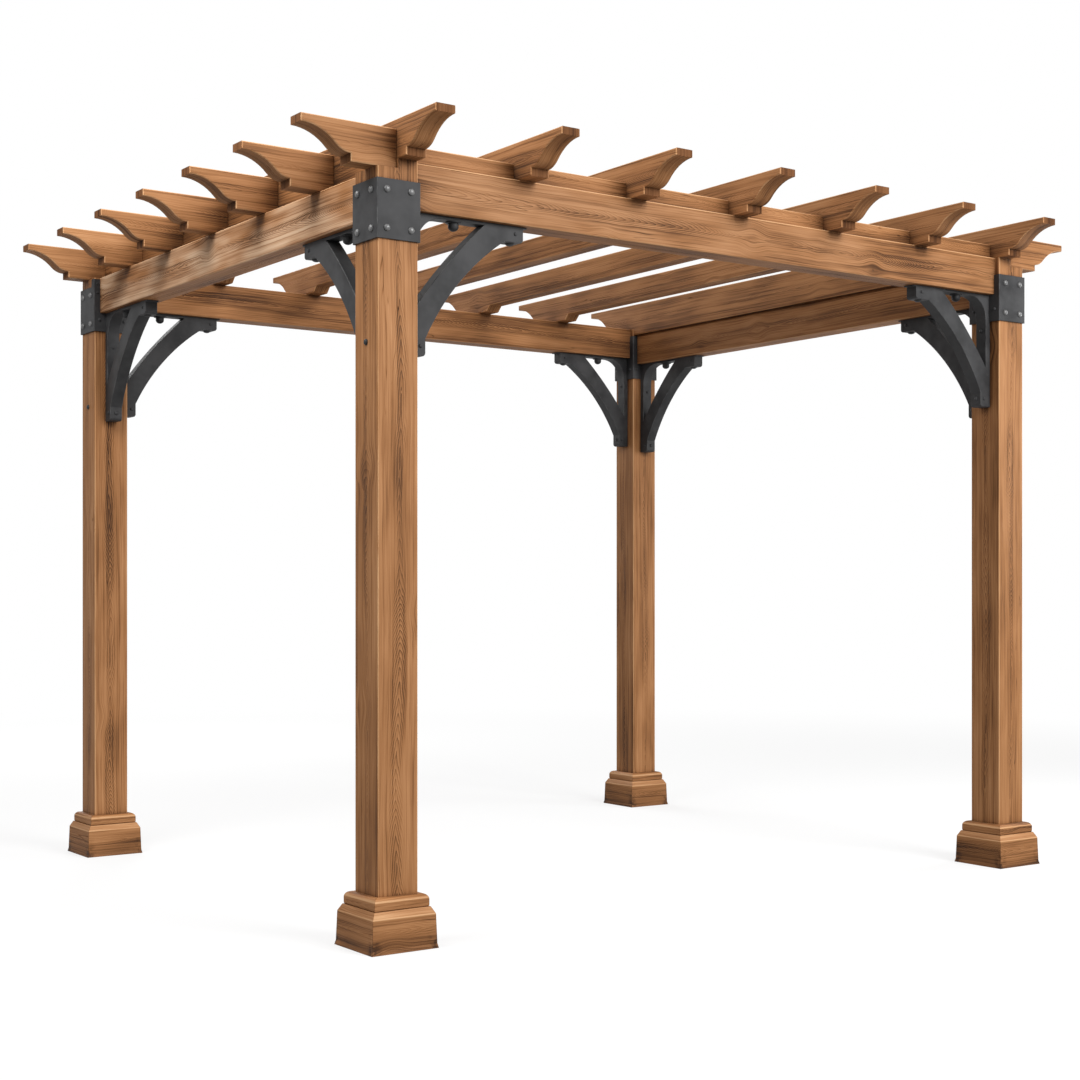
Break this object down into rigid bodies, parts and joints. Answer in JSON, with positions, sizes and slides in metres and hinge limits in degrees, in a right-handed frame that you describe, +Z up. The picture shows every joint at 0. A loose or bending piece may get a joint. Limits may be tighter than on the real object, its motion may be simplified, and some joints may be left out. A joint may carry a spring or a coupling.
{
  "type": "wooden pergola",
  "caption": "Open timber pergola with moulded post bases, dark steel corner sleeves, arched steel gussets and scroll-cut rafter tails on every side.",
  "frame": {"origin": "on the ground, in the middle of the four posts", "axes": "+Z up, +X along the front beam to the right, +Y from the front beam to the rear beam"},
  "size_m": [3.427, 2.873, 2.5],
  "materials": {
    "stained_wood": "brown stained softwood",
    "dark_steel": "satin charcoal coating"
  },
  "bodies": {
    "root": {"post_front_left": "stained_wood", "base_skirt_front_left": "stained_wood", "base_cap_front_left": "stained_wood", "sleeve_front_left": "dark_steel", "gusset_front_left": "dark_steel", "gusset_left_front": "dark_steel", "post_front_right": "stained_wood", "base_skirt_front_right": "stained_wood", "base_cap_front_right": "stained_wood", "sleeve_front_right": "dark_steel", "gusset_front_right": "dark_steel", "gusset_right_front": "dark_steel", "post_rear_left": "stained_wood", "base_skirt_rear_left": "stained_wood", "base_cap_rear_left": "stained_wood", "sleeve_rear_left": "dark_steel", "gusset_rear_left": "dark_steel", "gusset_left_rear": "dark_steel", "post_rear_right": "stained_wood", "base_skirt_rear_right": "stained_wood", "base_cap_rear_right": "stained_wood", "sleeve_rear_right": "dark_steel", "gusset_rear_right": "dark_steel", "gusset_right_rear": "dark_steel", "beam_front": "stained_wood", "beam_rear": "stained_wood", "beam_left": "stained_wood", "beam_right": "stained_wood", "tails_left": "stained_wood", "tails_right": "stained_wood", "blocking_front": "stained_wood", "rafter_1": "stained_wood", "rafter_2": "stained_wood", "rafter_3": "stained_wood", "rafter_4": "stained_wood", "rafter_5": "stained_wood", "rafter_6": "stained_wood", "rafter_7": "stained_wood"}
  },
  "joints": []
}
